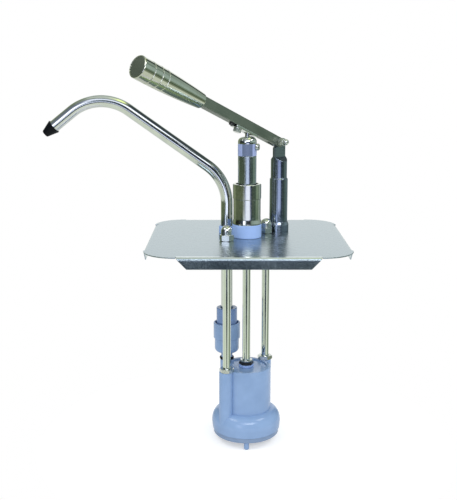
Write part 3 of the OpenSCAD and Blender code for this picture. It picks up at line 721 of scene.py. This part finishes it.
def grip():
    """Turned grip, widest near its free end, with three cut rings and a recessed end."""
    full, neck, taper_from = 15.76, 11.0, 20
    mouth, floor, depth = 0.85, 0.45, 0.6

    def radius(u):
        """Radius at a distance u from the free end."""
        return full if u < taper_from else full - (full - neck) * ((u - taper_from) / (GRIP_LEN - taper_from)) ** 1.8

    profile = [(0, 1.25), (full - 2.2, 1.25), (full - 2.2, 0, 0.3), (full, 0, 1.6)]
    for cut in (18, 32, 44):
        low_r = radius(cut) - depth
        profile += [(radius(cut - mouth), cut - mouth, 0.2), (low_r, cut - floor), (low_r, cut + floor),
                    (radius(cut + mouth), cut + mouth, 0.2)]
    profile += [(radius(u), u) for u in range(50, 116, 6)]
    profile += [(radius(GRIP_LEN - 0.5), GRIP_LEN - 0.1, 1.6), (8.6, GRIP_LEN - 0.05, 0.3), (0, GRIP_LEN - 0.05)]
    return put(lathe(profile, False, 128), GRIP)


piece("grip", grip(), "polished_steel", "grip_steel")
piece("grip_end_disc", put(lathe([
    (0, 0.45), (13.6, 0.45, 0.25), (13.6, 1.2), (0, 1.2)], False, 128), GRIP), "bar_steel")


def keeper_plate():
    """Short plate under the bar with a rounded slot for the stud's neck."""
    gap = 0.02
    bm = bmesh.new()
    loops = [[(-94.5, -7.1, 0.8), (-48, -7.1, 0.8), (-48, 7.1, 0.8), (-94.5, 7.1, 0.8)],
             [(-69.4, -3.8, 3.79), (-57, -3.8, 3.79), (-57, 3.8, 3.79), (-69.4, 3.8, 3.79)]]
    for loop in loops:
        verts = [bm.verts.new((x, y, PLATE_FACE + gap)) for x, y, _ in loop]
        for a, b in zip(verts, verts[1:] + verts[:1]):
            bm.edges.new((a, b))
        round_corners(bm, verts, loop, 8)
    bmesh.ops.triangle_fill(bm, use_beauty=True, use_dissolve=False, edges=bm.edges[:])
    lifted = bmesh.ops.extrude_face_region(bm, geom=bm.faces[:])["geom"]
    bmesh.ops.translate(bm, vec=(0, 0, PLATE_T - 2 * gap), verts=verts_in(lifted))
    return put(ease(tidy(bm), 0.3, 50), LEVER)


piece("keeper_plate", keeper_plate(), "bright_fasteners", "polished_steel")
piece("keeper_bolt", put(join([
    hexagon(PLATE_FACE - 5.5, PLATE_FACE - 1, 10.5, 0, 30), rod(PLATE_FACE - 1, PLATE_FACE, 6, 0.2),
    rod(PLATE_FACE - 0.5, 2, 3)]), LEVER, shift(KEEPER_BOLT_X, 0, 0)), "bright_fasteners")
piece("keeper_screw", put(join([
    lathe([(0, -BAR_D / 2 - 1.6), (1.9, -BAR_D / 2 - 1.6), (2.1, -BAR_D / 2 - 3, 0.2), (4, -BAR_D / 2 - 3, 0.5),
           (4, -BAR_D / 2, 0.1), (0, -BAR_D / 2)], False, 48), rod(-BAR_D / 2 - 0.5, 0.5, 2.5)]),
    LEVER, shift(KEEPER_SCREW_X, 0, 0)), "black_plastic")
piece("pivot_bolt", put(join([
    rod(-BAR_W / 2 - 1, BAR_W / 2 + 14, 3), hexagon(-BAR_W / 2 - 4.2, -BAR_W / 2, 10)]), PIVOT), "bright_fasteners")
piece("pivot_nut", put(hexagon(BAR_W / 2 + 0.05, BAR_W / 2 + 4.95, 10.5, 3.05, 15), PIVOT), "bright_fasteners")
piece("pivot_cap_nut", put(cap_nut(BAR_W / 2 + 5.05, 10.5, 4.9, 4.6, 12.3), PIVOT), "bright_fasteners")


# The spout

def spout_tube():
    """Thin tube drawn up from the valve, bent away from the lid and over to the nozzle."""
    bm = bmesh.new()
    bmesh.ops.create_circle(bm, cap_ends=False, segments=64, radius=TUBE_R, matrix=AT_OUTLET @ shift(0, 0, TUBE_LOW))

    def draw(edges, place, length):
        """Lengthens the tube in a straight line and gives its new end."""
        grown = bmesh.ops.extrude_edge_only(bm, edges=edges)["geom"]
        verts = verts_in(grown)
        bmesh.ops.translate(bm, vec=place.to_3x3() @ Vector((0, 0, length)), verts=verts)
        return [e for e in edges_in(grown) if set(e.verts) <= set(verts)]

    def bend(edges, place, degrees, steps):
        """Lengthens the tube round a bend and gives its new end."""
        verts = list({v for e in edges for v in e.verts})
        return edges_in(bmesh.ops.spin(bm, geom=verts + edges, cent=place @ Vector((-TUBE_BEND, 0, 0)), axis=(0, 1, 0),
                                       angle=-math.radians(degrees), steps=steps)["geom_last"])

    end = draw(bm.edges[:], AT_OUTLET, TUBE_RISE - TUBE_LOW)
    end = bend(end, TUBE_START, FIRST_TURN, 24)
    end = draw(end, SLOPE_START, SLOPE_LEN)
    end = bend(end, ARCH_START, ARCH_TURN, 32)
    draw(end, ARCH_END, TAIL_LEN)
    return tidy(bm)


spout = piece("spout_tube", spout_tube(), "polished_steel")
give_wall(spout, TUBE_WALL, 0.25)
piece("nozzle", put(lathe([
    (3.4, -12), (7.7, -12, 0.4), (7.7, -0.05), (11, 0, 1.0), (5.4, 18.2, 1.0), (3.4, 18.2, 0.5)], True), TUBE_END),
    "black_rubber")
piece("spout_collar", put(ring(level(0), level(11), 11.9, 9.05, 0.9), AT_OUTLET), "pale_blue_plastic")
piece("tube_locknut", put(hexagon(-DOUBLER_T - 8, -DOUBLER_T, 26, 9.05), AT_OUTLET), "pale_blue_plastic")

# The rods that carry the pump, and their nuts

PUMP_TOP = level(-BODY_TOP)
for rod_name, (x, y) in zip(("front_support_rod", "back_support_rod"), LUGS):
    piece(rod_name, put(rod(PUMP_TOP - 26, level(12), 6, 0.8), shift(x, y, 0)), "polished_steel", "rod_steel")
piece("lid_cap_nuts", join([
    put(cap_nut(level(0), 18.6, 9, 8.4, 22.5, facing), shift(x, y, 0)) for (x, y), facing in zip(LUGS, NUT_TURNS)]),
    "bright_fasteners")
piece("under_lid_nuts", join([
    put(hexagon(-DOUBLER_T - 6, -DOUBLER_T, 18, 6.05, NUT_TURNS[0]), shift(x, y, 0)) for x, y in LUGS]),
    "bright_fasteners")
piece("lug_nuts", join([
    put(hexagon(PUMP_TOP, PUMP_TOP + 6.2, 20, 6.05, NUT_TURNS[0]), shift(x, y, 0)) for x, y in LUGS]),
    "bright_fasteners")


# The pump

def pump_body():
    """Cylinder on a wide rounded foot, with three bosses, a bore from below and a recessed top."""
    joint, boss_top = level(-PLATE_JOINT), PUMP_TOP + 0.02
    barrel = lathe([
        (32, level(-BORE_TOP)), (32, joint + 8), (42, joint + 8), (42, joint), (51.9, joint, 0.8),
        (53, level(-291), 1.0), (53, level(-270), 19.9), (37.8, level(-270.05), 2.4), (37.8, PUMP_TOP, 1.3),
        (31, PUMP_TOP, 0.6), (31, PUMP_TOP - 2), (9.05, PUMP_TOP - 2), (9.05, level(-BORE_TOP))], True, 128)
    bosses = [put(lathe([(0, -288), (r, -288), (r, boss_top, 1.0), (0, boss_top)], False, 64), shift(x, y, 0))
              for x, y, r in ((-31.4, -28.8, 10.2), (30, 30, 9.6), (-30, 30, 10.4))]
    return join([barrel] + bosses)


piece("pump_body", pump_body(), "blue_plastic")
piece("gland_body", join([hexagon(PUMP_TOP - 1.95, PUMP_TOP + 2, 20, 6.08), ring(-215.5, PUMP_TOP - 2, 9, 6.08, 0.3)]),
      "pale_blue_plastic")
piece("gland_nut", hexagon(PUMP_TOP + 2.02, PUMP_TOP + 6.4, 20, 6.08, 10), "black_plastic")
piece("gland_ring", ring(PUMP_TOP + 6.42, PUMP_TOP + 9.4, 9.5, 6.08, 0.9), "bright_fasteners")
piece("valve_body", put(lathe([
    (5, level(-215)), (7.45, level(-215)), (7.45, PUMP_TOP), (8.9, PUMP_TOP), (8.9, level(-190)),
    (18.9, level(-190), 6.8), (18.9, level(-167.02), 0.3), (16.4, level(-167.02)), (16.4, level(-148)),
    (10.5, level(-148)), (10.5, level(-164.5)), (9.6, level(-164.5)), (9.6, level(-184)), (5, level(-184))], True),
    AT_OUTLET), "blue_plastic")
piece("neck_ring", put(ring(PUMP_TOP + 0.1, PUMP_TOP + 4.1, 11.2, 8.95, 1.6), AT_OUTLET),
      "blue_plastic", "black_rubber", stands_for="valve_body")
piece("valve_union", put(lathe([
    (16.45, level(-167)), (20.7, level(-167), 0.9), (20.7, level(-142), 0.9), (18.2, level(-142), 0.3),
    (18.2, level(-147)), (16.45, level(-147))], True), AT_OUTLET), "blue_plastic")
piece("tube_gland", put(lathe([
    (9.05, level(-148)), (16, level(-148)), (16, level(-118), 1.2), (10.6, level(-118), 0.6),
    (9.05, level(-120))], True), AT_OUTLET), "blue_plastic", "deep_blue")


# The stage, from here on in metres

def white_for_eye(tree, strength):
    """A strength for camera and see-through rays, and three tenths of it for mirrors."""
    path = add(tree, "LightPath").outputs
    mirrored = add(tree, "Math", {0: path["Is Glossy Ray"], 1: 0.3}, operation="MULTIPLY").outputs[0]
    seen = add(tree, "Math", {0: path["Is Camera Ray"], 1: mirrored}, operation="MAXIMUM").outputs[0]
    seen = add(tree, "Math", {0: seen, 1: path["Is Transmission Ray"]}, operation="MAXIMUM").outputs[0]
    return add(tree, "Math", {0: seen, 1: strength}, operation="MULTIPLY").outputs[0]


def studio_floor():
    """Round white floor. What the eye sees of it is lifted to white, and the shadow stays."""
    floor_z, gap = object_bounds()[0][2], 0.0005
    bm = bmesh.new()
    bmesh.ops.create_circle(bm, cap_ends=True, segments=96, radius=0.32, matrix=shift(0, 0, floor_z - gap))
    mesh = bpy.data.meshes.new("studio_floor")
    bm.to_mesh(mesh)
    bm.free()
    made = bpy.data.objects.new("studio_floor", mesh)
    bpy.context.scene.collection.objects.link(made)
    paper = bpy.data.materials.new("white_paper_floor")
    paper.use_nodes = True
    tree = paper.node_tree
    tree.nodes.clear()
    matt = add(tree, "BsdfDiffuse", {"Color": linear("e6e6e6")})
    lift = add(tree, "Emission", {"Strength": white_for_eye(tree, 0.45)})
    both = add(tree, "AddShader", {0: matt.outputs[0], 1: lift.outputs[0]})
    add(tree, "OutputMaterial", {"Surface": both.outputs[0]})
    mesh.materials.append(paper)
    made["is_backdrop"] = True


def bands(tree, value, stops, times=1.0):
    """Colours along a value from -1 to 1, some times as bright as their codes say."""
    share = add(tree, "MapRange", {"Value": value, "From Min": -1.0, "From Max": 1.0}).outputs[0]
    ramp = add(tree, "ValToRGB", {0: share})
    elements = ramp.color_ramp.elements
    elements[0].position, elements[0].color = 0.0, linear(stops[0][1])
    elements[1].position, elements[1].color = 1.0, linear(stops[-1][1])
    for place, code in stops[1:-1]:
        elements.new((place + 1) / 2).color = linear(code)
    return add(tree, "VectorMath", {0: ramp.outputs[0], "Scale": times}, operation="SCALE").outputs[0]


def between(tree, value, low, high, a, b):
    """Colour a where the value is under low, b where it is over high."""
    share = add(tree, "MapRange", {"Value": value, "From Min": low, "From Max": high}, interpolation_type="SMOOTHSTEP")
    mixed = add(tree, "Mix", {"Factor": share.outputs[0]}, data_type="RGBA")
    tree.links.new(a, mixed.inputs["A"])
    tree.links.new(b, mixed.inputs["B"])
    return mixed.outputs["Result"]


# What mirrors see of the room in front: the heights between which a layer starts, its brightness, its colours by side.
# The room is made up. Its colours were set over many trial renders, each compared with colours measured in the
# photograph, so that the highlights on the metal come near the real ones at the photograph's view
TABLE = [(-1, "e6eedc"), (0, "f2f8ea"), (1, "f2f8ea")]
LAYERS = [
    # The dark gap behind the table's edge
    (-0.52, -0.44, 1.0, [
        (-1, "d8e0cc"), (-0.24, "eef4e6"), (-0.10, "3c4854"), (0.10, "3c4854"), (0.24, "eef4e6"), (0.75, "d8e0cc"),
        (0.87, "98a48c"), (1, "7c8870")]),
    # A slate-gray board
    (-0.34, -0.27, 1.0, [
        (-1, "d8e0cc"), (-0.46, "eef4e6"), (-0.36, "8c9694"), (-0.28, "26323f"), (0.28, "26323f"), (0.36, "8c9694"),
        (0.46, "eef4e6"), (0.8, "eef4e6"), (0.9, "66725f"), (1, "66725f")]),
    # A pale screen by the camera: its low, middle and high part
    (-0.212, -0.200, 2.0, [
        (-1, "363e2d"), (-0.66, "363e2d"), (-0.58, "6c7674"), (-0.48, "dfe6f4"), (0.42, "e6ebff"), (0.52, "34447a"),
        (0.62, "2c3a33"), (1, "38493e")]),
    (-0.182, -0.160, 2.0, [
        (-1, "4a553e"), (-0.50, "465038"), (-0.34, "4a5258"), (-0.25, "7280a8"), (-0.15, "e2e8ff"), (0.32, "e6ebff"),
        (0.42, "2a3870"), (0.50, "161e38"), (0.66, "202c28"), (0.94, "34443a"), (1, "7c8c7a")]),
    (-0.15, -0.06, 1.0, [
        (-1, "363e2d"), (-0.46, "2d3425"), (-0.20, "4c5880"), (-0.10, "b8c6f8"), (0.26, "c0ccfc"), (0.36, "3c50a0"),
        (0.46, "161e38"), (0.6, "2c3a33"), (0.94, "34443a"), (1, "7c8c7a")]),
    # A soft box on the left
    (-0.07, -0.02, 3.0, [
        (-1, "12150f"), (-0.56, "2a3240"), (-0.48, "e8ecff"), (-0.30, "e8ecff"), (-0.20, "5c6670"), (-0.04, "20262e"),
        (0.40, "10141a"), (0.62, "5c6864"), (1, "707c79")]),
    # Shade over it
    (0.32, 0.38, 1.0, [
        (-1, "7c8876"), (-0.3, "bcbedc"), (-0.1, "9ca4b0"), (0.05, "343c44"), (0.42, "20262e"), (0.62, "7c8a80"),
        (1, "7c9088")]),
    # A strip light, brightest on the right
    (0.42, 0.50, 2.4, [
        (-1, "444c40"), (-0.44, "5c6070"), (-0.3, "c4cad8"), (0.12, "c4cad8"), (0.24, "f0f4ff"), (0.46, "f0f4ff"),
        (0.56, "343c40"), (0.66, "48504a"), (1, "48504a")]),
    # The wall over it
    (0.66, 0.74, 1.0, [
        (-1, "7c8876"), (-0.6, "7c8876"), (-0.46, "9a9cb4"), (-0.36, "bcbedc"), (0.36, "bcbedc"), (0.46, "9a9cb4"),
        (0.6, "7c8a80"), (1, "7c9088")]),
    # The ceiling, with a dark part on the right
    (0.72, 0.80, 1.0, [
        (-1, "8c968a"), (0, "a6b0a6"), (0.40, "8c968a"), (0.50, "3c464c"), (0.66, "3c464c"), (1, "6c766c")]),
    # The zenith, with a warm lamp
    (0.86, 0.92, 2.0, [
        (-1, "747c74"), (0.0, "a8aea6"), (0.16, "b4bca0"), (0.24, "dce89c"), (0.36, "dce89c"), (0.46, "5a645c"),
        (1, "5a645c")]),
]
# The white sweep behind the object, by height, and the walls beside it, by side
SWEEP = [(-1, "dfe3dc"), (0.0, "f2f5f2"), (0.4, "f4f6f6"), (0.6, "a8b0a8"), (1, "a0aaa0")]
WALLS = [(-1, "8c9878"), (0.2, "8c9878"), (0.40, "3c4844"), (0.58, "3c4844"), (0.74, "a8b8b0"), (1, "a8b8b0")]


def studio_room(tree):
    """The colour that mirrors see in each unit direction: the layers in front, the sweep and the walls behind."""
    x, y, z = add(tree, "SeparateXYZ", {0: add(tree, "TexCoord").outputs["Generated"]}).outputs
    front = bands(tree, x, TABLE)
    for low, high, times, stops in LAYERS:
        front = between(tree, z, low, high, front, bands(tree, x, stops, times))
    aside = add(tree, "Math", {0: x}, operation="ABSOLUTE").outputs[0]
    sides = between(tree, aside, 0.34, 0.46, bands(tree, z, SWEEP, 1.24), bands(tree, x, WALLS))
    behind = between(tree, z, -0.23, -0.19, bands(tree, z, SWEEP), sides)
    return between(tree, y, 0.20, 0.42, front, behind)


def studio_world():
    """The eye sees white, matt surfaces get an even gray that is lighter from the front, and mirrors see the room."""
    world = bpy.data.worlds.new("soft_studio")
    bpy.context.scene.world = world
    world.use_nodes = True
    tree = world.node_tree
    tree.nodes.clear()
    path = add(tree, "LightPath").outputs
    y = add(tree, "SeparateXYZ", {0: add(tree, "TexCoord").outputs["Generated"]}).outputs["Y"]
    nearer = add(tree, "MapRange", {"Value": y, "From Min": 1.0, "From Max": -1.0}).outputs[0]
    matt = add(tree, "Mix", {"Factor": path["Is Glossy Ray"]}, data_type="RGBA")
    tree.links.new(tint(tree, nearer, "bcc1c6", "fafcff"), matt.inputs["A"])
    tree.links.new(studio_room(tree), matt.inputs["B"])
    clear = add(tree, "Math", {0: path["Is Camera Ray"], 1: path["Is Transmission Ray"]}, operation="MAXIMUM")
    eye = add(tree, "Mix", {"Factor": clear.outputs[0]}, data_type="RGBA")
    tree.links.new(matt.outputs["Result"], eye.inputs["A"])
    eye.inputs["B"].default_value = linear("ffffff")
    back = add(tree, "Background", {"Color": eye.outputs["Result"], "Strength": 1.0})
    add(tree, "OutputWorld", {"Surface": back.outputs[0]})


def flag_for(made):
    """A flag that keeps lamps off one piece."""
    flag = bpy.data.collections.new("flagged")
    flag.objects.link(made)
    flag.collection_objects[0].light_linking.link_state = "EXCLUDE"
    return flag


def soft_lamp(name, azimuth, elevation, width, watts, flag):
    """Wide soft lamp that looks at the object from an azimuth and elevation. Azimuth 0 is over the camera."""
    distance, height = 1.8, 0.35
    lamp = bpy.data.lights.new(name, "AREA")
    lamp.shape = "RECTANGLE"
    lamp.size, lamp.size_y = width, height
    lamp.energy = watts
    made = bpy.data.objects.new(name, lamp)
    made.location = turn(azimuth, "Z") @ turn(-elevation, "X") @ Vector((0, -distance, 0))
    made.rotation_euler = (-made.location).to_track_quat("-Z", "Y").to_euler()
    made.visible_camera = False
    made.light_linking.receiver_collection = flag
    bpy.context.scene.collection.objects.link(made)


studio_floor()
studio_world()
# The spout's long highlights come from the room alone
spout_flag = flag_for(spout)
soft_lamp("middle_lamp", 9, 27, 1.0, 6.6, spout_flag)
soft_lamp("left_lamp", -60, 48, 0.8, 5.2, spout_flag)
soft_lamp("right_lamp", 72, 47, 0.8, 5.2, spout_flag)

# The camera, with its lens, place and tilt fitted to the photograph
camera_data = bpy.data.cameras.new("camera")
camera_data.lens = 60.42
camera_data.sensor_width = 36
camera = bpy.data.objects.new("camera", camera_data)
camera.location = (-0.0274, -1.2296, 0.2469)
camera.rotation_euler = (math.radians(77.79), 0, 0)
bpy.context.scene.collection.objects.link(camera)
bpy.context.scene.camera = camera
bpy.context.scene.view_settings.view_transform = "Standard"
